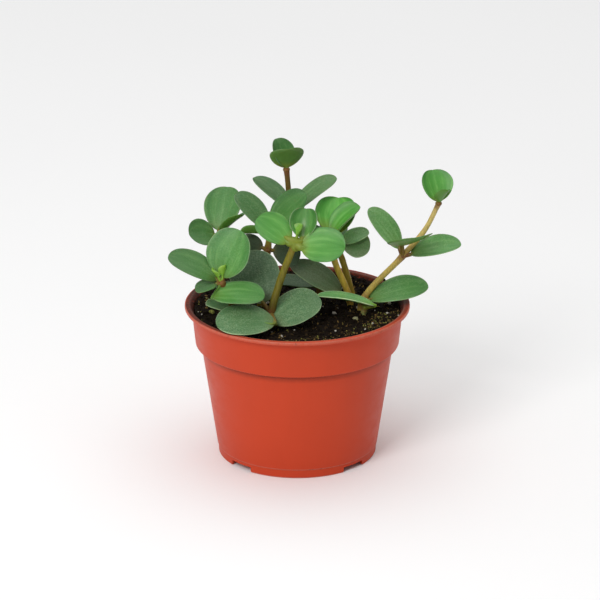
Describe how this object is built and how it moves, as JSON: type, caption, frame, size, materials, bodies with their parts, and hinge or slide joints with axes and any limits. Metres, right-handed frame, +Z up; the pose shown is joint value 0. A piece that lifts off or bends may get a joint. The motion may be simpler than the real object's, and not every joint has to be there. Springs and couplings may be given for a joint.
{
  "type": "potted peperomia",
  "caption": "Young peperomia with whorls of thick oval leaves on bare golden stems, planted in dark soil in a round terracotta-coloured plastic nursery pot.",
  "frame": {"origin": "on the table, under the middle of the whole object's box", "axes": "+Z up, -Y towards the side that is seen first, +X to that viewer's right"},
  "size_m": [0.1398, 0.108, 0.1491],
  "materials": {
    "pot_plastic": "thin moulded plastic, satin, slightly dusty",
    "soil": "moist peat and bark crumbs with white perlite",
    "stem": "smooth fleshy stem, golden green, reddish at the joints",
    "leaf_young": "waxy satin leaf, bright green with paler veins and a pale edge",
    "leaf_mature": "waxy leaf, dull grey-green, mottled, with a pale edge"
  },
  "bodies": {
    "root": {"pot": "pot_plastic", "soil": "soil", "stem_centre": "stem", "stem_left_front": "stem", "stem_left_back": "stem", "stem_middle": "stem", "stem_tall": "stem", "stem_right_front": "stem", "stem_right_back": "stem", "stem_right": "stem", "stem_right_foot": "stem", "leaves_centre_top": "leaf_young", "leaves_left_front": "leaf_young", "leaves_left_back": "leaf_young", "leaves_tall_top": "leaf_young", "leaves_right_front": "leaf_young", "leaves_right_foot": "leaf_young", "leaves_right_top": "leaf_young", "leaves_centre_foot": "leaf_mature", "leaves_left_foot": "leaf_mature", "leaves_middle_top": "leaf_mature", "leaves_middle_low": "leaf_mature", "leaves_tall_middle": "leaf_mature", "leaves_tall_foot": "leaf_mature", "leaves_right_back": "leaf_mature", "leaves_right_front_foot": "leaf_mature", "leaves_right_middle": "leaf_mature", "leaves_right_low": "leaf_mature"}
  },
  "joints": []
}
